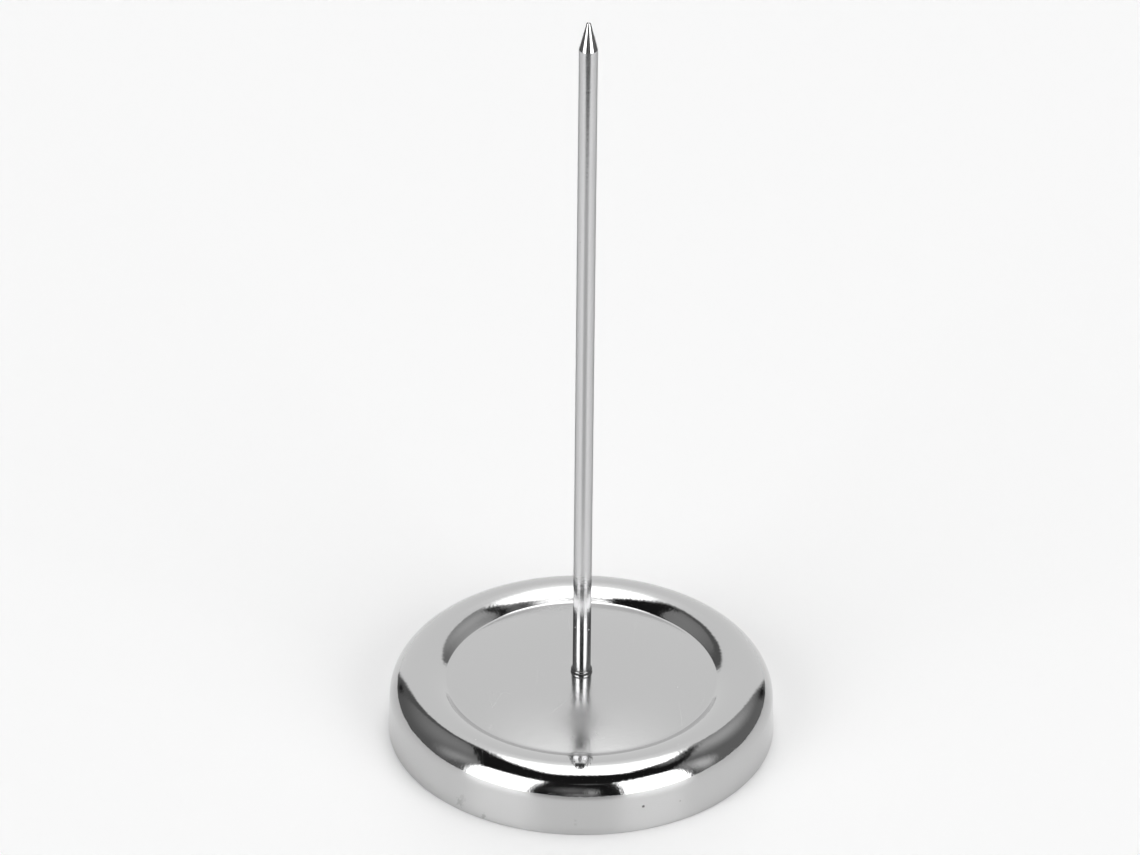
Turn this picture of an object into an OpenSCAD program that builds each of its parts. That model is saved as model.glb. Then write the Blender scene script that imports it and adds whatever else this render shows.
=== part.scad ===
// Receipt spike: a pointed steel rod standing on a pressed round base.
// Millimetres, +Z up. The origin is on the table, under the middle of the base.

/* [Base] */
// Diameter of the base at its bottom edge
base_d = 75; // [60:1:110]
// Height of the rim's crest above the table
base_h = 12.8; // [11:0.2:18]
// Thickness of the pressed sheet
sheet_t = 0.8; // [0.5:0.1:1.4]
// Lean of the side wall from upright, in degrees
wall_lean = 2.5; // [0:0.5:8]
// Radius of the outer shoulder between side wall and crest
shoulder_r = 5.9; // [2.5:0.1:6.5]
// Width of the rim, from the bottom edge in to the floor of the dish
rim_w = 11.9; // [10.1:0.2:15]
// Radius of the rim just inside its crest
crest_r = 7.7; // [3:0.1:9]
// Depth of the dish at its edge, below the crest
dish_depth = 1.9; // [1.1:0.1:2.5]
// Radius of the hollow corner between slope and floor
corner_r = 1; // [0.6:0.1:2.4]
// Rise of the crowned floor from its edge to the seat in the middle
crown_h = 1.8; // [0.3:0.1:3]
// Diameter of the flat seat that the rod stands on
seat_d = 14; // [8:0.5:16]
// Radius on the outside of the trimmed bottom edge
edge_r = 0.25; // [0.1:0.05:0.45]

/* [Spike] */
// Height of the point above the table
spike_h = 155; // [90:1:220]
// Diameter of the rod
rod_d = 3.5; // [3.2:0.1:5]
// Half angle of the ground point, in degrees
point_angle = 14.2; // [8:0.2:30]
// Radius of the blunted tip
tip_r = 0.45; // [0.1:0.05:0.8]
// Distance that the upset collar stands out from the rod
collar_stand = 0.28; // [0.1:0.02:1]
// Height of the upset collar
collar_h = 0.6; // [0.3:0.1:1.5]

/* [Fixing] */
// Diameter of the threaded tail below the collar
tail_d = 3; // [2:0.1:3.2]
// Length of tail that shows below the nut
tail_past_nut = 1.2; // [0.3:0.1:2.5]
// Chamfer on the end of the tail
tail_chamfer = 0.4; // [0.1:0.05:0.6]
// Diameter of the washer
washer_d = 7; // [6.5:0.1:8]
// Thickness of the washer
washer_t = 0.5; // [0.3:0.1:1]
// Nut size across its flats
nut_flats = 5.5; // [5:0.1:6.5]
// Height of the nut
nut_h = 2.4; // [1.6:0.1:3]
// Gap all round the tail in the floor's hole and in the washer
hole_gap = 0.1; // [0.05:0.01:0.2]
// Gap between the tail's thread and the nut's
thread_gap = 0.04; // [0.02:0.01:0.08]

/* [Hidden] */
$fn = 96;

// Heights of the pieces, from the seat down
seat_z = base_h - dish_depth + crown_h;
under_z = seat_z - sheet_t;
washer_z = under_z - washer_t;
nut_z = washer_z - nut_h;
tail_z = nut_z - tail_past_nut;

// Radii
base_r = base_d / 2;
floor_r = base_r - rim_w;
seat_r = seat_d / 2;
rod_r = rod_d / 2;
tail_r = tail_d / 2;
hole_r = tail_r + hole_gap;

// Centre of the shoulder: its arc touches the leaning wall and the crest's height
shoulder_z = base_h - shoulder_r;
crest_at = base_r - (shoulder_r + shoulder_z * sin(wall_lean)) / cos(wall_lean);

// Crown: an arc that leaves the flat seat level and falls to the floor's edge
crown_span = floor_r - seat_r;
crown_r = (crown_span ^ 2 + crown_h ^ 2) / (2 * crown_h);
crown_fall = asin(crown_span / crown_r);

// Hollow corner: it touches the crown at the floor's edge
corner_at = floor_r + corner_r * sin(crown_fall);
corner_z = base_h - dish_depth + corner_r * cos(crown_fall);

// The crest's radius is held under the largest that still leaves a straight slope
slope_run = crest_at - corner_at;
slope_lift = corner_z - base_h;
crest_limit = (slope_run ^ 2 + slope_lift ^ 2 - corner_r ^ 2) / (2 * (corner_r - slope_lift));
crest_fit = min(crest_r, 0.98 * crest_limit);

// Slope: the straight line that touches the crest's arc and the hollow corner's arc
slope_drop = crest_fit + slope_lift;
slope_angle = atan2(slope_run, slope_drop)
    - acos((crest_fit + corner_r) / sqrt(slope_run ^ 2 + slope_drop ^ 2));

// Ground point: a cone that touches the ball of the blunted tip
tip_z = spike_h - tip_r;
point_z = tip_z + tip_r * sin(point_angle)
    - (rod_r - tip_r * cos(point_angle)) / tan(point_angle);

// Points along an arc, both ends included, with angles in degrees from the +X side
function arc(x, z, r, from, to, steps) =
    [for (i = [0 : steps]) let (a = from + (to - from) * i / steps) [x + r * cos(a), z + r * sin(a)]];

// The sheet's face, from the shoulder in to the seat, sunk by a depth into the sheet
function sheet_face(sunk) = concat(
    arc(crest_at, shoulder_z, shoulder_r - sunk, wall_lean, 90, 20),
    arc(crest_at, base_h - crest_fit, crest_fit - sunk, 90, 90 + slope_angle, 8),
    arc(corner_at, corner_z, corner_r + sunk, slope_angle - 90, -90 - crown_fall, 8),
    arc(seat_r, seat_z - crown_r, crown_r - sunk, 90 - crown_fall, 90, 10),
    [[hole_r, seat_z - sunk]]
);

// Where the wall's face meets the table, at the same depth into the sheet
function wall_foot(sunk) = base_r - sunk / cos(wall_lean);

function reversed(list) = [for (i = [len(list) - 1 : -1 : 0]) list[i]];

// One pressed sheet: leaning wall, round shoulder, dish with a crowned floor and a hole
module base_shell() {
    color("gainsboro") rotate_extrude()
        polygon(concat(
            arc(base_r - edge_r, edge_r, edge_r, -90, 0, 5),
            sheet_face(0),
            reversed(sheet_face(sheet_t)),
            [[wall_foot(sheet_t), 0]]
        ));
}

// One headed rod: threaded tail, upset collar, shank and ground point
module spike_rod() {
    collar = [for (a = [-90 : 15 : 90])
        [rod_r + collar_stand * cos(a), seat_z + collar_h * (1 + sin(a)) / 2]];
    color("silver") rotate_extrude()
        polygon(concat(
            [[0, tail_z], [tail_r - tail_chamfer, tail_z], [tail_r, tail_z + tail_chamfer],
                [tail_r, seat_z]],
            collar,
            [[rod_r, point_z]],
            arc(0, tip_z, tip_r, point_angle, 90, 6)
        ));
}

// Flat washer against the underside of the seat
module washer() {
    color("lightgray") translate([0, 0, washer_z]) difference() {
        cylinder(d = washer_d, h = washer_t);
        translate([0, 0, -1]) cylinder(r = hole_r, h = washer_t + 2);
    }
}

// Plain hexagon nut with chamfered corners and a countersunk bore
module hex_nut() {
    bore_r = tail_r + thread_gap;
    across = nut_flats / cos(30);
    bevel = (across - nut_flats) / 2;
    bevel_h = bevel * tan(30);
    sink = 0.3;
    color("darkgray") translate([0, 0, nut_z]) difference() {
        intersection() {
            cylinder(d = across, h = nut_h, $fn = 6);
            rotate_extrude() polygon([[0, 0], [nut_flats / 2, 0], [across / 2, bevel_h],
                [across / 2, nut_h - bevel_h], [nut_flats / 2, nut_h], [0, nut_h]]);
        }
        rotate_extrude() polygon([[0, -1], [bore_r + sink, -1], [bore_r + sink, 0],
            [bore_r, sink], [bore_r, nut_h - sink], [bore_r + sink, nut_h],
            [bore_r + sink, nut_h + 1], [0, nut_h + 1]]);
    }
}

base_shell();
spike_rod();
washer();
hex_nut();
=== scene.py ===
# Receipt spike: a pointed plated rod that stands on a pressed and chromed round base.
# Lengths are in metres and +Z is up. The origin is on the table, under the middle of the base.
import math

import bpy
import numpy as np
from mathutils import Matrix, Vector


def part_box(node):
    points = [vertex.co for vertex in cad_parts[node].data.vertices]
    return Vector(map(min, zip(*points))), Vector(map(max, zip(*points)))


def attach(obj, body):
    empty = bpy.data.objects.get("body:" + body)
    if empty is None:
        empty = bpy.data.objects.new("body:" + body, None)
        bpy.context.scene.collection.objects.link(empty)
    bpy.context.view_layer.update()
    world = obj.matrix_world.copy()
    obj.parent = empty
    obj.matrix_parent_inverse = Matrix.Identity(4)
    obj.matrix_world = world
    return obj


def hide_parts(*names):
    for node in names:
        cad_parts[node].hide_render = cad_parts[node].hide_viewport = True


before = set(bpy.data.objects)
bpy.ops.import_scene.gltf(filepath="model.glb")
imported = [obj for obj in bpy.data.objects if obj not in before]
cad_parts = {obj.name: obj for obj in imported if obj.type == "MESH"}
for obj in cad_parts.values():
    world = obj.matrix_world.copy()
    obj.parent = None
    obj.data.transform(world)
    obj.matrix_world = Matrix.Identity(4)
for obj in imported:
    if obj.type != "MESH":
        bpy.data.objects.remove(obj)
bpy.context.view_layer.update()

# Viewpoint
# The photograph looks down on the spike from a little over a metre away, through a long lens
# that is tilted by half a degree. Its picture is 1140 by 855 pixels.
SENSOR = 0.036
VIEW_DISTANCE = 1.284
VIEW_ELEVATION = math.radians(34.59)
VIEW_AIM = Vector((-0.00269, 0, 0.0679))
VIEW_TILT = math.radians(0.564)
VIEW_LENS = 0.20808


def stand_camera(place, aim, tilt):
    """A camera at a place, pointed at the aim and turned about its own view line by the tilt."""
    data = bpy.data.cameras.new("photo_camera")
    data.sensor_width = SENSOR * 1000
    data.lens = VIEW_LENS * 1000
    data.clip_start = 0.01
    data.clip_end = 20
    camera = bpy.data.objects.new("photo_camera", data)
    turn = (aim - place).to_track_quat("-Z", "Y").to_matrix() @ Matrix.Rotation(tilt, 3, "Z")
    camera.matrix_world = Matrix.Translation(place) @ turn.to_4x4()
    bpy.context.scene.collection.objects.link(camera)
    return camera


view_from = VIEW_DISTANCE * Vector((0, -math.cos(VIEW_ELEVATION), math.sin(VIEW_ELEVATION)))
bpy.context.scene.camera = stand_camera(view_from, VIEW_AIM, VIEW_TILT)
bpy.context.scene.view_settings.view_transform = "Standard"

# Studio
# A square light tent: a glowing sheet in a black roof, paper at the back, dim sides between black
# corner poles, two tall soft lamps at the front and a dark gap between them for the camera.
ROOF_LIGHT = 3.0
FRONT_LIGHT = 3.6
BACK_PAPER = 0.917
ROOF_GAIN = 0.28
DIM_LEFT = 0.143
DIM_RIGHT = 0.181
FOREGROUND = 0.172
ROOM = 0.0125


def put(tree, kind, inputs=None, **settings):
    """A node of that kind, with its settings made and its inputs set to values or joined to
    sockets."""
    node = tree.nodes.new(kind)
    for name, value in settings.items():
        setattr(node, name, value)
    for slot, value in (inputs or {}).items():
        if isinstance(value, bpy.types.NodeSocket):
            tree.links.new(value, node.inputs[slot])
        else:
            node.inputs[slot].default_value = value
    return node


def calc(tree, operation, *values):
    """The output of one Math node."""
    return put(tree, "ShaderNodeMath", dict(enumerate(values)), operation=operation).outputs[0]


def vector(tree, operation, *values):
    """The output of one Vector Math node."""
    return put(tree, "ShaderNodeVectorMath", dict(enumerate(values)), operation=operation).outputs[0]


def step(tree, value, low, high):
    """A smooth step from 0 at the low value to 1 at the high one."""
    return put(tree, "ShaderNodeMapRange", {0: value, 1: low, 2: high},
               interpolation_type="SMOOTHSTEP").outputs[0]


def tent_plan(tree):
    """The direction as a point on a plan of the tent, in degrees: straight up is its middle, +x is
    right and +y is the back, and the distance from the middle is the angle away from straight up."""
    unit = vector(tree, "NORMALIZE", put(tree, "ShaderNodeTexCoord").outputs["Generated"])
    rise = put(tree, "ShaderNodeSeparateXYZ", {0: unit}).outputs[2]
    across = calc(tree, "SQRT", calc(tree, "SUBTRACT", 1.0001, calc(tree, "POWER", rise, 2)))
    angle = calc(tree, "MULTIPLY", calc(tree, "ARCCOSINE", rise), 180 / math.pi)
    stretch = calc(tree, "DIVIDE", angle, across)
    grow = put(tree, "ShaderNodeCombineXYZ", {0: stretch, 1: stretch}).outputs[0]
    return vector(tree, "MULTIPLY", unit, grow)


def beyond(tree, plan, start, stop, soft):
    """1 on the left of a line on the plan and 0 on its right: a smooth step in the distance to the
    line, which is the dot product of the place and the line's inward direction, less its edge."""
    (x, y), (next_x, next_y) = start, stop
    length = math.hypot(next_x - x, next_y - y)
    inward = ((y - next_y) / length, (next_x - x) / length, 0)
    depth = put(tree, "ShaderNodeVectorMath", {0: plan, 1: inward}, operation="DOT_PRODUCT")
    edge = inward[0] * x + inward[1] * y
    return step(tree, depth.outputs["Value"], edge - soft, edge + soft)


def inside(tree, plan, corners, soft):
    """1 inside a convex outline on the plan and 0 outside it: the product of what lies on the left
    of its edges. The corners run anticlockwise, in degrees."""
    mask = 1.0
    for start, stop in zip(corners, corners[1:] + corners[:1]):
        mask = calc(tree, "MULTIPLY", mask, beyond(tree, plan, start, stop, soft))
    return mask


def patch(tree, plan, middle, reach, turn):
    """1 in the middle of a leaning ellipse on the plan, falling smoothly to 0 at its edge: a smooth
    step in the length of (place - middle), turned back and divided by the reach."""
    local = put(tree, "ShaderNodeMapping", {0: plan, 1: (*middle, 0), 2: (0, 0, math.radians(turn)),
                                            3: (*reach, 1)}, vector_type="TEXTURE").outputs[0]
    away = put(tree, "ShaderNodeVectorMath", {0: local}, operation="LENGTH").outputs["Value"]
    return step(tree, away, 1.0, 0.0)


def light_tent():
    """The world, as it lights the table and as the metal shows it: the sheets of the tent laid one
    over another on the plan, each with its corners, the softness of its edge and its brightness."""
    world = bpy.data.worlds.new("light_tent")
    bpy.context.scene.world = world
    world.use_nodes = True
    # The tent is so broad that rays needn't be aimed at it, and leaving that out halves the time.
    world.cycles.sampling_method = "NONE"
    tree = world.node_tree
    tree.nodes.clear()
    plan = tent_plan(tree)
    left_pole = [(-70, 62), (-18, 26), (-15, 31), (-50, 72)]
    black_roof = [(-17, -41), (18, -43), (42, -21), (38, 0), (27, 20), (20, 28), (-20, 27), (-34, 3),
                  (-45, -17)]
    front_gap = [(-17, -38), (-56, -98), (44, -98), (17, -40)]
    foreground = [(-36, -88), (-70, -170), (70, -170), (36, -88)]
    back = [(0, 19), (15, 31.5), (47, 59), (52, 72), (56, 150), (-56, 150), (-50, 72), (-45, 61),
            (-16, 32)]
    left_lamp = [(-45, -19.5), (-101, -44), (-56, -98), (-19, -41)]
    right_lamp = [(43, -22), (18.5, -42.5), (46, -101), (100, -53), (66, -32)]
    roof = [(-10, -10), (15, -10.5), (20.5, 0), (23, 8), (22, 17), (19, 26), (14.5, 34), (-12, 34),
            (-15, 24), (-17, 14), (-14.5, 1)]
    on_right = beyond(tree, plan, (0, 0), (0, -90), 2)
    glow = calc(tree, "MULTIPLY_ADD", on_right, DIM_RIGHT - DIM_LEFT, DIM_LEFT)

    def lay(mask, light):
        """A sheet laid over what is there already: its light where its mask is 1."""
        return put(tree, "ShaderNodeMix", {0: mask, 2: glow, 3: light}).outputs[0]

    # The sides, with paler and darker cloths hung on them, and then the corner poles
    for middle, reach, turn, light in (
            ((-36, 18), (46, 42), 0, 0.296),
            ((34, 26), (32, 34), 0, 0.525),
            ((-60, -9), (32, 19), -10, 0.42),
            ((66, -16), (30, 15), -15, 0.71),
            ((73, -32.5), (14, 4), -28, 0.02)):
        glow = lay(patch(tree, plan, middle, reach, turn), light)
    glow = lay(inside(tree, plan, left_pole, 2), 0.124)
    glow = lay(patch(tree, plan, (-54, 60), (11, 6), -40), 0.0)
    glow = lay(patch(tree, plan, (55, 60), (14, 9), 40), 0.0)
    # The black roof and the gap at the front, with what stands dimly in them
    glow = lay(inside(tree, plan, black_roof, 1.5), ROOM)
    glow = lay(inside(tree, plan, front_gap, 4), ROOM)
    for middle, reach, turn, light in (
            ((25, 6), (7, 17), 15, 0.28),
            ((4, -45.5), (14, 4), 0, 0.12),
            ((-6, -70), (23, 19), 20, 0.17),
            ((9, -77), (8, 19), 8, 0.42),
            ((0, -86), (20, 10), 0, 0.28)):
        glow = lay(patch(tree, plan, middle, reach, turn), light)
    glow = lay(inside(tree, plan, foreground, 2), FOREGROUND)
    # The white sheets: the back paper, the lamps, and the roof's sheet, which darkens at its back end
    glow = lay(inside(tree, plan, back, 2.2), BACK_PAPER)
    glow = lay(patch(tree, plan, (0, 30), (17, 22), 0), 1.24)
    glow = lay(inside(tree, plan, left_lamp, 4), FRONT_LIGHT)
    glow = lay(inside(tree, plan, right_lamp, 3), FRONT_LIGHT)
    before_end = beyond(tree, plan, (90, 26.5), (-90, 26.5), 8)
    roof_light = calc(tree, "MULTIPLY_ADD", before_end, ROOF_LIGHT - BACK_PAPER, BACK_PAPER + ROOF_GAIN)
    glow = lay(inside(tree, plan, roof, 3), roof_light)
    lit = put(tree, "ShaderNodeBackground", {0: (1, 1, 1, 1), 1: glow})
    put(tree, "ShaderNodeOutputWorld", {0: lit.outputs[0]})


light_tent()

# Table
# A smooth white sheet, as large as the rod's reflection shows it. A floor of the same stuff goes
# on around it and fills the picture, and the metal doesn't show that one.
TABLE_SIDE = 0.34
TABLE_FRONT = -0.235
TABLE_BACK = 0.36
FLOOR_REACH = 3.0
PAPER_WHITE = 0.95
FRONT_SHADE = 0.3


def new_material(name):
    """An empty material with a Principled shader joined to its output, and its node tree."""
    material = bpy.data.materials.new(name)
    material.use_nodes = True
    tree = material.node_tree
    tree.nodes.clear()
    shader = put(tree, "ShaderNodeBsdfPrincipled")
    put(tree, "ShaderNodeOutputMaterial", {0: shader.outputs[0]})
    return material, tree, shader


def noise(tree, scale, detail=2.0, stretch=(1, 1, 1)):
    """Noise on the piece's own coordinates. The scale is in waves a metre."""
    place = put(tree, "ShaderNodeTexCoord").outputs["Object"]
    place = put(tree, "ShaderNodeMapping", {0: place, "Scale": stretch}).outputs[0]
    return put(tree, "ShaderNodeTexNoise", {0: place, "Scale": scale, "Detail": detail}).outputs[0]


def total(tree, *parts):
    """The sum of values, each given with the amount that it counts for."""
    result = 0.0
    for value, amount in parts:
        result = calc(tree, "MULTIPLY_ADD", value, amount, result)
    return result


def raise_surface(tree, shader, *parts):
    """A bump from heights, each given with the metres that it counts for."""
    height = total(tree, *parts)
    bump = put(tree, "ShaderNodeBump", {"Strength": 1.0, "Distance": 1.0, "Height": height})
    tree.links.new(bump.outputs[0], shader.inputs["Normal"])


def flat_sheet(name, places, faces, material):
    """A flat piece of the studio at the table's height, from its (x, y) corners."""
    mesh = bpy.data.meshes.new(name)
    mesh.from_pydata([(x, y, 0) for x, y in places], [], faces)
    mesh.materials.append(material)
    sheet = bpy.data.objects.new(name, mesh)
    bpy.context.scene.collection.objects.link(sheet)
    return sheet


def corners_of(left, right, front, back):
    """The four corners of a rectangle, anticlockwise from its left front one."""
    return [(left, front), (right, front), (right, back), (left, back)]


white_sheet, tree, shader = new_material("white_sheet")
shader.inputs["Specular IOR Level"].default_value = 0.42
# The rod also shows a shade that lies on the table in front: a wedge that fades with |x / y| and
# begins beyond the base. The camera sees the table without it.
place = put(tree, "ShaderNodeTexCoord").outputs["Object"]
across, depth, _ = put(tree, "ShaderNodeSeparateXYZ", {0: place}).outputs
slant = calc(tree, "ABSOLUTE", calc(tree, "DIVIDE", across, depth))
wedge = calc(tree, "MULTIPLY", step(tree, slant, 0.8, 0.1), step(tree, depth, -0.05, -0.09))
seen = put(tree, "ShaderNodeLightPath").outputs["Is Camera Ray"]
shade = calc(tree, "MULTIPLY", wedge, calc(tree, "SUBTRACT", 1.0, seen))
tree.links.new(calc(tree, "MULTIPLY_ADD", shade, -FRONT_SHADE, PAPER_WHITE), shader.inputs["Base Color"])
tree.links.new(total(tree, (noise(tree, 60), 0.06), (0.34, 1.0)), shader.inputs["Roughness"])
raise_surface(tree, shader, (noise(tree, 900), 2e-6))
table_edge = corners_of(-TABLE_SIDE, TABLE_SIDE, TABLE_FRONT, TABLE_BACK)
flat_sheet("table", table_edge, [(0, 1, 2, 3)], white_sheet)
floor_edge = corners_of(-FLOOR_REACH, FLOOR_REACH, -FLOOR_REACH, FLOOR_REACH)
floor = flat_sheet("floor_around", table_edge + floor_edge,
                   [(4, 5, 1, 0), (5, 6, 2, 1), (6, 7, 3, 2), (7, 4, 0, 3)], white_sheet)
floor.visible_glossy = False

# Base
# One disc of thin steel sheet, pressed into a shallow round cup that stands upside down, with a
# broad rolled rim and a crowned dish in its top. The face is polished and chromed, and the floor
# of the dish is left satin. The underside is as it came from the press.
BASE_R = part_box("base_shell")[1].x
BASE_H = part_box("base_shell")[1].z
SHEET = 0.0008
WALL_LEAN = math.radians(2.5)
SHOULDER_R = 0.0059
RIM_W = 0.0119
CREST_R = 0.0077
DISH_DEPTH = 0.0019
CORNER_R = 0.001
CROWN_H = 0.0018
SEAT_R = 0.007
EDGE_R = 0.00025
HOLE_R = 0.0016
BREAK_R = 0.00008
SATIN_FADE = 0.0004
SATIN_PAST = 0.0002
BASE_COLUMNS = 360
CHROME = (0.56, 0.56, 0.56, 1)
GRIME_AND_SHADE = (0.04, 0.04, 0.04, 1)
BARE_STEEL = (0.46, 0.46, 0.455, 1)
STAINED_STEEL = (0.34, 0.335, 0.32, 1)


def arc(centre, radius, start, stop, points):
    """Points (radius, height) along an arc of the outline, between two angles in radians."""
    angle = np.linspace(start, stop, points)
    return np.stack([centre[0] + radius * np.cos(angle), centre[1] + radius * np.sin(angle)], -1)


def line(start, stop, points):
    """Points along a straight stretch of the outline, without its last one."""
    share = np.linspace(0, 1, points, endpoint=False)[:, None]
    return np.array(start) * (1 - share) + np.array(stop) * share


def turned(outline, columns):
    """The grid of points that an outline of (radius, height) points makes about the Z axis."""
    turn = np.arange(columns) * 2 * np.pi / columns
    radius, height = outline[:, :1], outline[:, 1:]
    return np.stack([radius * np.cos(turn), radius * np.sin(turn), height + 0 * turn], -1)


def grid_piece(name, points, *materials, poles=None):
    """A piece from a grid of points, shaped (rows, columns, 3). Each square between neighbours is
    a face. The last column joins the first, and so does the last row, unless poles gives two
    heights on the axis: then a fan of triangles closes each end of the grid to its pole."""
    rows, columns = points.shape[:2]
    index = np.arange(rows * columns).reshape(rows, columns)
    after = np.roll(index, -1, axis=1)
    squares = np.stack([index, after, np.roll(after, -1, axis=0), np.roll(index, -1, axis=0)], -1)
    places = points.reshape(-1, 3)
    faces = [squares.reshape(-1, 4)]
    if poles:
        first, last = np.full(columns, len(places)), np.full(columns, len(places) + 1)
        faces = [squares[:-1].reshape(-1, 4), np.stack([after[0], index[0], first], -1),
                 np.stack([index[-1], after[-1], last], -1)]
        places = np.concatenate([places, [(0, 0, poles[0]), (0, 0, poles[1])]])
    sizes = np.concatenate([np.full(len(part), part.shape[1]) for part in faces])
    mesh = bpy.data.meshes.new(name)
    mesh.vertices.add(len(places))
    mesh.vertices.foreach_set("co", places.ravel())
    mesh.loops.add(int(sizes.sum()))
    corners = np.concatenate([part.ravel() for part in faces])
    mesh.loops.foreach_set("vertex_index", corners.astype(np.int32))
    mesh.polygons.add(len(sizes))
    mesh.polygons.foreach_set("loop_start", (np.cumsum(sizes) - sizes).astype(np.int32))
    mesh.polygons.foreach_set("use_smooth", np.ones(len(sizes), bool))
    mesh.update(calc_edges=True)
    for material in materials:
        mesh.materials.append(material)
    piece = bpy.data.objects.new(name, mesh)
    bpy.context.scene.collection.objects.link(piece)
    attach(piece, "root")
    return piece


# The shoulder's arc touches the leaning wall and the crest's height.
shoulder_z = BASE_H - SHOULDER_R
shoulder_r = BASE_R - (SHOULDER_R + shoulder_z * math.sin(WALL_LEAN)) / math.cos(WALL_LEAN)
shoulder = (shoulder_r, shoulder_z)
# The crown is an arc that leaves the seat level and falls by CROWN_H to the floor's edge.
floor_r = BASE_R - RIM_W
seat_z = BASE_H - DISH_DEPTH + CROWN_H
crown_span = floor_r - SEAT_R
crown_r = (crown_span ** 2 + CROWN_H ** 2) / (2 * CROWN_H)
crown_fall = math.asin(crown_span / crown_r)
# The hollow corner touches the crown at the floor's edge.
corner = (floor_r + CORNER_R * math.sin(crown_fall),
          BASE_H - DISH_DEPTH + CORNER_R * math.cos(crown_fall))
# The crest's radius is held under the largest that still leaves a straight slope.
slope_run = shoulder[0] - corner[0]
slope_lift = corner[1] - BASE_H
crest_limit = (slope_run ** 2 + slope_lift ** 2 - CORNER_R ** 2) / (2 * (CORNER_R - slope_lift))
crest_r = min(CREST_R, 0.98 * crest_limit)
# The slope is the straight line that touches the crest's arc and the corner's arc.
slope = (math.atan2(slope_run, crest_r + slope_lift)
         - math.acos((crest_r + CORNER_R) / math.hypot(slope_run, crest_r + slope_lift)))


def sheet_face(sunk, fine):
    """The sheet's face from the shoulder in to the seat, sunk by a depth into the sheet. Arcs that
    bulge upwards lose that depth from their radius and the hollow corner gains it."""
    return np.concatenate([
        arc(shoulder, SHOULDER_R - sunk, WALL_LEAN, math.pi / 2, 2 * fine)[:-1],
        arc((shoulder[0], BASE_H - crest_r), crest_r - sunk, math.pi / 2, math.pi / 2 + slope, fine),
        arc(corner, CORNER_R + sunk, slope - math.pi / 2, -math.pi / 2 - crown_fall, fine),
        arc((SEAT_R, seat_z - crown_r), crown_r - sunk, math.pi / 2 - crown_fall, math.pi / 2, fine)[1:],
    ])


top_face = sheet_face(0, 26)
under_face = sheet_face(SHEET, 10)[::-1]
inner_foot = BASE_R - SHEET / math.cos(WALL_LEAN)
shown = np.concatenate([
    arc((BASE_R - EDGE_R, EDGE_R), EDGE_R, -math.pi / 2, 0, 7)[:-1],
    line((BASE_R, EDGE_R), top_face[0], 12),
    top_face,
    arc((HOLE_R + BREAK_R, seat_z - BREAK_R), BREAK_R, math.pi / 2, math.pi, 4),
])
hidden = np.concatenate([
    arc((HOLE_R + BREAK_R, seat_z - SHEET + BREAK_R), BREAK_R, math.pi, 1.5 * math.pi, 4),
    under_face,
    line(under_face[-1], (inner_foot, BREAK_R), 6)[1:],
    arc((inner_foot + BREAK_R, BREAK_R), BREAK_R, math.pi, 1.5 * math.pi, 4),
])


def new_effect(name, inputs):
    """A node group with named number inputs. It gives the group and its own input sockets."""
    group = bpy.data.node_groups.new(name, "ShaderNodeTree")
    for label, value in inputs.items():
        socket = group.interface.new_socket(label, in_out="INPUT", socket_type="NodeSocketFloat")
        socket.default_value = value
    return group, put(group, "NodeGroupInput").outputs


def give(group, name, value):
    """The group's one named output."""
    group.interface.new_socket(name, in_out="OUTPUT", socket_type="NodeSocketFloat")
    put(group, "NodeGroupOutput", {0: value})


def use(tree, group, **inputs):
    """The output of a node group that is placed in a material with its own values."""
    return put(tree, "ShaderNodeGroup", inputs, node_tree=group).outputs[0]


def round_axis(tree):
    """For the point on the piece: its way out from the axis, its distance from it and its height."""
    place = put(tree, "ShaderNodeTexCoord").outputs["Object"]
    flat = vector(tree, "MULTIPLY", place, (1, 1, 0))
    radius = put(tree, "ShaderNodeVectorMath", {0: flat}, operation="LENGTH").outputs["Value"]
    height = put(tree, "ShaderNodeSeparateXYZ", {0: place}).outputs[2]
    return vector(tree, "NORMALIZE", flat), radius, height


def from_spot(group, given):
    """The point on the piece, and its distance from the group's spot (X, Y, Z), counted in Size."""
    place = put(group, "ShaderNodeTexCoord").outputs["Object"]
    spot = put(group, "ShaderNodeCombineXYZ", {0: given["X"], 1: given["Y"], 2: given["Z"]}).outputs[0]
    away = put(group, "ShaderNodeVectorMath", {0: place, 1: spot}, operation="DISTANCE").outputs["Value"]
    return place, calc(group, "DIVIDE", away, given["Size"])


# Polishing lines run around the axis: noise on (way out x Around, (radius - height) x Across), where
# Across is in waves a metre along the outline.
polishing_lines, given = new_effect("polishing_lines", {"Across": 2500.0, "Around": 4.0})
way, radius, height = round_axis(polishing_lines)
across = calc(polishing_lines, "SUBTRACT", radius, height)
across = calc(polishing_lines, "MULTIPLY", across, given["Across"])
across = put(polishing_lines, "ShaderNodeCombineXYZ", {2: across}).outputs[0]
around = put(polishing_lines, "ShaderNodeVectorMath", {0: way, "Scale": given["Around"]}, operation="SCALE")
spread = vector(polishing_lines, "ADD", around.outputs[0], across)
lines = put(polishing_lines, "ShaderNodeTexNoise", {0: spread, "Scale": 1.0, "Detail": 3.0})
give(polishing_lines, "Height", lines.outputs[0])

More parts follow.
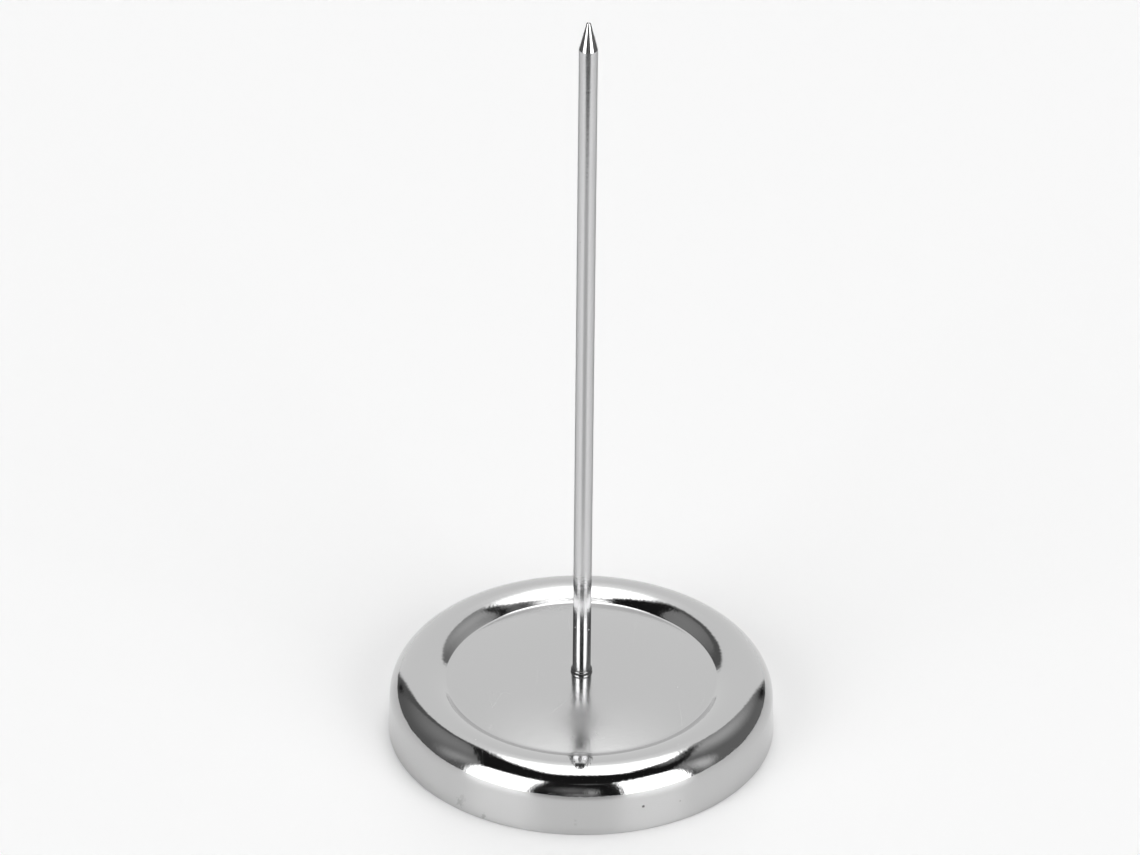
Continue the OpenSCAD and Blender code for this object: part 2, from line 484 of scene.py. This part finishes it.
# Hairlines are thin curved scratches, where a stretched noise crosses its middle value. A second
# noise, which has to be over Amount, breaks them up.
hairlines, given = new_effect("hairlines", {"Scale": 60.0, "Width": 0.003, "Amount": 0.55})
place = put(hairlines, "ShaderNodeTexCoord").outputs["Object"]
leaning = {0: place, "Rotation": (0.4, 0.2, 0.9), "Scale": (3, 0.5, 1)}
place = put(hairlines, "ShaderNodeMapping", leaning).outputs[0]
wave = put(hairlines, "ShaderNodeTexNoise", {0: place, "Scale": given["Scale"], "Detail": 0.0}).outputs[0]
away = calc(hairlines, "ABSOLUTE", calc(hairlines, "SUBTRACT", wave, 0.5))
away = calc(hairlines, "DIVIDE", away, given["Width"])
near = calc(hairlines, "MAXIMUM", calc(hairlines, "SUBTRACT", 1.0, away), 0.0)
finer = calc(hairlines, "MULTIPLY", given["Scale"], 2.3)
broken = put(hairlines, "ShaderNodeTexNoise", {0: place, "Scale": finer}).outputs[0]
kept = calc(hairlines, "GREATER_THAN", broken, given["Amount"])
give(hairlines, "Mask", calc(hairlines, "MULTIPLY", near, kept))

# Specks are a few round dots of grit under the plating or dust on it. Share is how many of the
# cells hold one, and Size is the dot's radius in cells.
specks, given = new_effect("specks", {"Scale": 600.0, "Size": 0.12, "Share": 0.03})
place = put(specks, "ShaderNodeTexCoord").outputs["Object"]
cell = put(specks, "ShaderNodeTexVoronoi", {0: place, "Scale": given["Scale"]})
dot = calc(specks, "LESS_THAN", cell.outputs["Distance"], given["Size"])
chance = put(specks, "ShaderNodeSeparateXYZ", {0: cell.outputs["Color"]}).outputs[0]
give(specks, "Mask", calc(specks, "MULTIPLY", dot, calc(specks, "LESS_THAN", chance, given["Share"])))

# A blemish is one spot at its own place on the piece, with an edge that a fine noise makes ragged.
blemish, given = new_effect("blemish", {"X": 0.0, "Y": 0.0, "Z": 0.0, "Size": 0.0003, "Ragged": 0.5,
                                        "Grain": 2500.0})
place, away = from_spot(blemish, given)
ragged = put(blemish, "ShaderNodeTexNoise", {0: place, "Scale": given["Grain"]}).outputs[0]
away = calc(blemish, "MULTIPLY_ADD", calc(blemish, "SUBTRACT", ragged, 0.5), given["Ragged"], away)
give(blemish, "Mask", calc(blemish, "SUBTRACT", 1.0, step(blemish, away, 0.6, 1.2)))

# A haze and shade spot fades evenly from its middle to its edge. It marks a handled or less polished
# place, and also places painted shade.
haze_and_shade_spot, given = new_effect("haze_and_shade_spot", {"X": 0.0, "Y": 0.0, "Z": 0.0, "Size": 0.005})
place, away = from_spot(haze_and_shade_spot, given)
give(haze_and_shade_spot, "Mask", calc(haze_and_shade_spot, "POWER", step(haze_and_shade_spot, away, 1.0, 0.0), 1.5))


def wall_spot(tree, azimuth, height, size, ragged):
    """A blemish on the base's wall, at an azimuth in degrees to the right of the front."""
    turn = math.radians(azimuth)
    radius = BASE_R - height * math.tan(WALL_LEAN)
    return use(tree, blemish, X=radius * math.sin(turn), Y=-radius * math.cos(turn), Z=height,
               Size=size, Ragged=ragged)


def colour_mix(tree, share, low, high):
    """One colour where the share is 0 and another where it is 1."""
    return put(tree, "ShaderNodeMix", {0: share, 6: low, 7: high}, data_type="RGBA").outputs[2]


base_chrome, tree, shader = new_material("base_chrome")
_, radius, _ = round_axis(tree)
satin = calc(tree, "SUBTRACT", 1.0, step(tree, radius, floor_r - SATIN_FADE, floor_r + SATIN_PAST))
# Handling has dulled the dish in front of the rod and at its front corner, and the polishing wheel
# hardly reached the far slope. The first two spots also darken the colour there as painted shade.
front_haze_and_shade = use(tree, haze_and_shade_spot, X=0.0, Y=-0.0168, Z=0.0122, Size=0.0085)
corner_haze_and_shade = use(tree, haze_and_shade_spot, X=0.0002, Y=-0.0268, Z=0.0115, Size=0.0036)
slope_haze = use(tree, haze_and_shade_spot, X=-0.006, Y=0.0262, Z=0.0118, Size=0.013)
# The marks are the wall's blemishes and the specks, with the painted shade of the two dish spots.
marks_and_shade = total(
    tree,
    (wall_spot(tree, 18.8, 0.00538, 0.0003, 0.8), 0.7),
    (wall_spot(tree, -37.8, 0.0018, 0.0008, 3.0), 0.22),
    (wall_spot(tree, -36.9, 0.0031, 0.0007, 3.0), 0.12),
    (wall_spot(tree, -29.2, 0.0009, 0.0005, 3.0), 0.3),
    (wall_spot(tree, -1.3, 0.0034, 0.0003, 1.0), 0.1),
    (wall_spot(tree, -1.3, 0.0025, 0.0003, 1.0), 0.1),
    (front_haze_and_shade, 0.2),
    (corner_haze_and_shade, 0.3),
    (use(tree, specks, Scale=420.0, Size=0.07, Share=0.015), 0.4),
)
dust = use(tree, specks, Scale=700.0, Size=0.1, Share=0.01)
scratch = use(tree, hairlines, Scale=55.0, Width=0.0025, Amount=0.56)
tree.links.new(colour_mix(tree, marks_and_shade, CHROME, GRIME_AND_SHADE), shader.inputs["Base Color"])
tree.links.new(total(tree, (dust, -0.8), (1.0, 1.0)), shader.inputs["Metallic"])
rough = total(
    tree,
    (noise(tree, 120, 4.0), 0.05),
    (satin, 0.08),
    (front_haze_and_shade, 0.05),
    (corner_haze_and_shade, 0.1),
    (slope_haze, 0.13),
    (marks_and_shade, 0.3),
    (dust, 0.5),
    (scratch, 0.15),
    (0.045, 1.0),
)
tree.links.new(rough, shader.inputs["Roughness"])
raise_surface(tree, shader,
              (noise(tree, 350), 1.6e-5),
              (noise(tree, 1800), 1.0e-5),
              (use(tree, polishing_lines, Across=2500.0, Around=4.0), 3e-6),
              (scratch, -1e-6))

press_steel, tree, shader = new_material("press_steel")
stain = step(tree, noise(tree, 140, 6.0), 0.45, 0.7)
tree.links.new(colour_mix(tree, stain, BARE_STEEL, STAINED_STEEL), shader.inputs["Base Color"])
shader.inputs["Metallic"].default_value = 1.0
rough = total(tree, (noise(tree, 500, 4.0), 0.15), (stain, 0.08), (0.2, 1.0))
tree.links.new(rough, shader.inputs["Roughness"])
raise_surface(tree, shader,
              (use(tree, polishing_lines, Across=1600.0, Around=2.0), 1.2e-5),
              (noise(tree, 2600, 3.0), 8e-6))

outline = np.concatenate([shown, hidden])
base = grid_piece("pressed_base", turned(outline, BASE_COLUMNS), base_chrome, press_steel)
rows = np.repeat(np.arange(len(outline)), BASE_COLUMNS)
base.data.polygons.foreach_set("material_index", (rows >= len(shown)).astype(np.int32))
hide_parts("base_shell")

# Rod
# One steel rod, headed and plated bright. Its tail is threaded and passes through the hole in the
# dish, an upset collar sits on the seat, and the top is ground and polished to a blunted point.
ROD_R = 0.00175
ROD_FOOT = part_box("spike_rod")[0].z
TIP_R = 0.00045
TIP_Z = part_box("spike_rod")[1].z - TIP_R
POINT_ANGLE = math.radians(14.2)
COLLAR_STAND = 0.00028
COLLAR_H = 0.0006
TAIL_R = 0.0015
TAIL_CHAMFER = 0.0004
THREAD_PITCH = 0.0005
THREAD_DEPTH = 0.00028
ROD_COLUMNS = 128
FOOT_R = 0.0004
THREAD_START = 0.0002
COLLAR_BLEND = 0.0001
POINT_EDGE = 0.00006
PLATE = (0.585, 0.585, 0.59, 1)
EDGE_TINT = (0.34, 0.34, 0.34, 1)
SOOT_AND_SHADE = (0.1, 0.1, 0.1, 1)


def threaded(outline, columns, low, high):
    """The turned grid of an outline whose radius goes down into a right-handed V thread between two
    heights: by depth x |2 x fraction(height / pitch - turn) - 1|, less within a pitch of each end."""
    grid = turned(outline, columns)
    turn = np.arange(columns) / columns
    vee = np.abs(2 * ((outline[:, 1:] / THREAD_PITCH - turn) % 1) - 1)
    fit = np.clip(np.minimum(outline[:, 1:] - low, high - outline[:, 1:]) / THREAD_PITCH, 0, 1)
    grid[..., :2] *= (1 - THREAD_DEPTH * vee * fit / outline[:, :1])[..., None]
    return grid


# The cone of the point touches the ball of the blunted tip.
touch = (TIP_R * math.cos(POINT_ANGLE), TIP_Z + TIP_R * math.sin(POINT_ANGLE))
point_z = touch[1] - (ROD_R - touch[0]) / math.tan(POINT_ANGLE)
bead = np.linspace(-math.pi / 2, math.pi / 2, 17)
rod_outline = np.concatenate([
    line((FOOT_R, ROD_FOOT), (TAIL_R - TAIL_CHAMFER, ROD_FOOT), 3),
    line((TAIL_R - TAIL_CHAMFER, ROD_FOOT), (TAIL_R, ROD_FOOT + TAIL_CHAMFER), 6),
    line((TAIL_R, ROD_FOOT + TAIL_CHAMFER), (TAIL_R, seat_z), 90),
    np.stack([ROD_R + COLLAR_STAND * np.cos(bead), seat_z + COLLAR_H * (1 + np.sin(bead)) / 2], -1),
    line((ROD_R, seat_z + COLLAR_H + COLLAR_BLEND), (ROD_R, point_z - POINT_EDGE), 60),
    line((ROD_R, point_z - POINT_EDGE), (ROD_R, point_z), 1),
    line((ROD_R, point_z), touch, 60),
    arc((0, TIP_Z), TIP_R, POINT_ANGLE, math.radians(85), 9),
])

rod_plate, tree, shader = new_material("rod_plate")
shader.inputs["Specular Tint"].default_value = EDGE_TINT
_, _, height = round_axis(tree)
# The point is ground bright from just below its edge, painted shade darkens the collar's upper half
# and the shank just above it, where the two meet, and two crumbs of lint stick to the foot of the shank.
ground = step(tree, height, point_z - 0.00012, point_z + 0.00004)
crease_shade = calc(tree, "SUBTRACT", step(tree, height, seat_z + 0.0003, seat_z + 0.0004),
               step(tree, height, seat_z + 0.0006, seat_z + 0.0009))
shank = calc(tree, "SUBTRACT", 1.0, ground)
grit = use(tree, specks, Scale=900.0, Size=0.09, Share=0.03)
lint = calc(tree, "MAXIMUM",
            use(tree, blemish, X=0.00132, Y=-0.00115, Z=0.0227, Size=0.00014, Ragged=0.5, Grain=4000.0),
            use(tree, blemish, X=-0.00132, Y=-0.00115, Z=0.0232, Size=0.0001, Ragged=0.5, Grain=4000.0))
drawn = noise(tree, 5000, 3.0, (1, 1, 0.012))
# The grit is dirt on the plate, and the crease band is painted shade.
grit_and_crease_shade = total(tree, (grit, 1.0), (crease_shade, 0.7))
tree.links.new(colour_mix(tree, grit_and_crease_shade, PLATE, SOOT_AND_SHADE), shader.inputs["Base Color"])
tree.links.new(total(tree, (lint, -0.8), (1.0, 1.0)), shader.inputs["Metallic"])
rough = total(
    tree,
    (noise(tree, 700, 4.0), 0.06),
    (shank, 0.045),
    (grit, 0.2),
    (lint, 0.5),
    (0.045, 1.0),
)
tree.links.new(rough, shader.inputs["Roughness"])
buffed = use(tree, polishing_lines, Across=6000.0, Around=3.0)
raise_surface(tree, shader,
              (calc(tree, "MULTIPLY", drawn, shank), 2.5e-6),
              (calc(tree, "MULTIPLY", noise(tree, 2600, 3.0), shank), 1.1e-5),
              (calc(tree, "MULTIPLY", buffed, ground), 2.5e-6),
              (noise(tree, 1200), 3e-6))

rod_points = threaded(rod_outline, ROD_COLUMNS, ROD_FOOT + THREAD_START, seat_z - SHEET)
rod = grid_piece("pointed_rod", rod_points, rod_plate, poles=(ROD_FOOT, TIP_Z + TIP_R))
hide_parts("spike_rod")

# Fixing
# A flat washer and a plain hexagon nut draw the rod's collar down on the seat from below. The
# washer is stamped, the nut is cold formed, and both are zinc plated.
WASHER_R = 0.0035
NUT_FLAT = 0.00275
NUT_CORNER = NUT_FLAT / math.cos(math.radians(30))
NUT_BEVEL = (NUT_CORNER - NUT_FLAT) * math.tan(math.radians(30))
NUT_BORE = 0.00154
SINK = 0.0003
STAMPED_R = 0.0001
HOLE_BREAK = 0.00005
BURR_R = 0.00003
ZINC = (0.42, 0.425, 0.42, 1)
ZINC_BLOOM = (0.56, 0.56, 0.55, 1)
RUST = (0.16, 0.1, 0.06, 1)
washer_low, washer_high = (corner.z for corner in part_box("washer"))
nut_low, nut_high = (corner.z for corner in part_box("hex_nut"))

fixing_zinc, tree, shader = new_material("fixing_zinc")
bloom = step(tree, noise(tree, 420, 5.0), 0.42, 0.68)
rust = use(tree, specks, Scale=1500.0, Size=0.2, Share=0.02)
zinc = colour_mix(tree, bloom, ZINC, ZINC_BLOOM)
tree.links.new(colour_mix(tree, rust, zinc, RUST), shader.inputs["Base Color"])
tree.links.new(total(tree, (rust, -0.7), (1.0, 1.0)), shader.inputs["Metallic"])
rough = total(tree, (bloom, 0.14), (rust, 0.3), (noise(tree, 2600, 3.0), 0.1), (0.24, 1.0))
tree.links.new(rough, shader.inputs["Roughness"])
raise_surface(tree, shader, (noise(tree, 3600, 3.0), 9e-6), (noise(tree, 700), 1.2e-5))

washer_outline = np.concatenate([
    line((HOLE_R, washer_low + HOLE_BREAK), (HOLE_R + HOLE_BREAK, washer_low), 2),
    line((HOLE_R + HOLE_BREAK, washer_low), (WASHER_R - STAMPED_R, washer_low), 8),
    arc((WASHER_R - STAMPED_R, washer_low + STAMPED_R), STAMPED_R, -math.pi / 2, 0, 6),
    arc((WASHER_R - BURR_R, washer_high - BURR_R), BURR_R, 0, math.pi / 2, 3),
    line((WASHER_R - BURR_R, washer_high), (HOLE_R + STAMPED_R, washer_high), 8)[1:],
    arc((HOLE_R + STAMPED_R, washer_high - STAMPED_R), STAMPED_R, math.pi / 2, math.pi, 6),
])
washer = grid_piece("flat_washer", turned(washer_outline, 96), fixing_zinc)
washer.data.set_sharp_from_angle(angle=math.radians(40))
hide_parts("washer")


def hexagon(outline, columns):
    """The turned grid of an outline, held inside a hexagon: the radius is at most
    flat / cos(turn from the middle of the nearest side)."""
    grid = turned(outline, columns)
    turn = np.arange(columns) * 2 * np.pi / columns
    side = NUT_FLAT / np.cos((turn % (np.pi / 3)) - np.pi / 6)
    radius = outline[:, :1] + 0 * turn
    grid[..., :2] *= (np.minimum(radius, side) / radius)[..., None]
    return grid


nut_outline = np.concatenate([
    line((NUT_BORE, nut_low + SINK), (NUT_BORE + SINK, nut_low), 4),
    line((NUT_BORE + SINK, nut_low), (NUT_FLAT, nut_low), 4),
    line((NUT_FLAT, nut_low), (NUT_CORNER, nut_low + NUT_BEVEL), 8),
    line((NUT_CORNER, nut_low + NUT_BEVEL), (NUT_CORNER, nut_high - NUT_BEVEL), 6),
    line((NUT_CORNER, nut_high - NUT_BEVEL), (NUT_FLAT, nut_high), 8),
    line((NUT_FLAT, nut_high), (NUT_BORE + SINK, nut_high), 4),
    line((NUT_BORE + SINK, nut_high), (NUT_BORE, nut_high - SINK), 4),
    line((NUT_BORE, nut_high - SINK), (NUT_BORE, nut_low + SINK), 12),
])
nut = grid_piece("hexagon_nut", hexagon(nut_outline, 192), fixing_zinc)
nut.data.set_sharp_from_angle(angle=math.radians(25))
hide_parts("hex_nut")
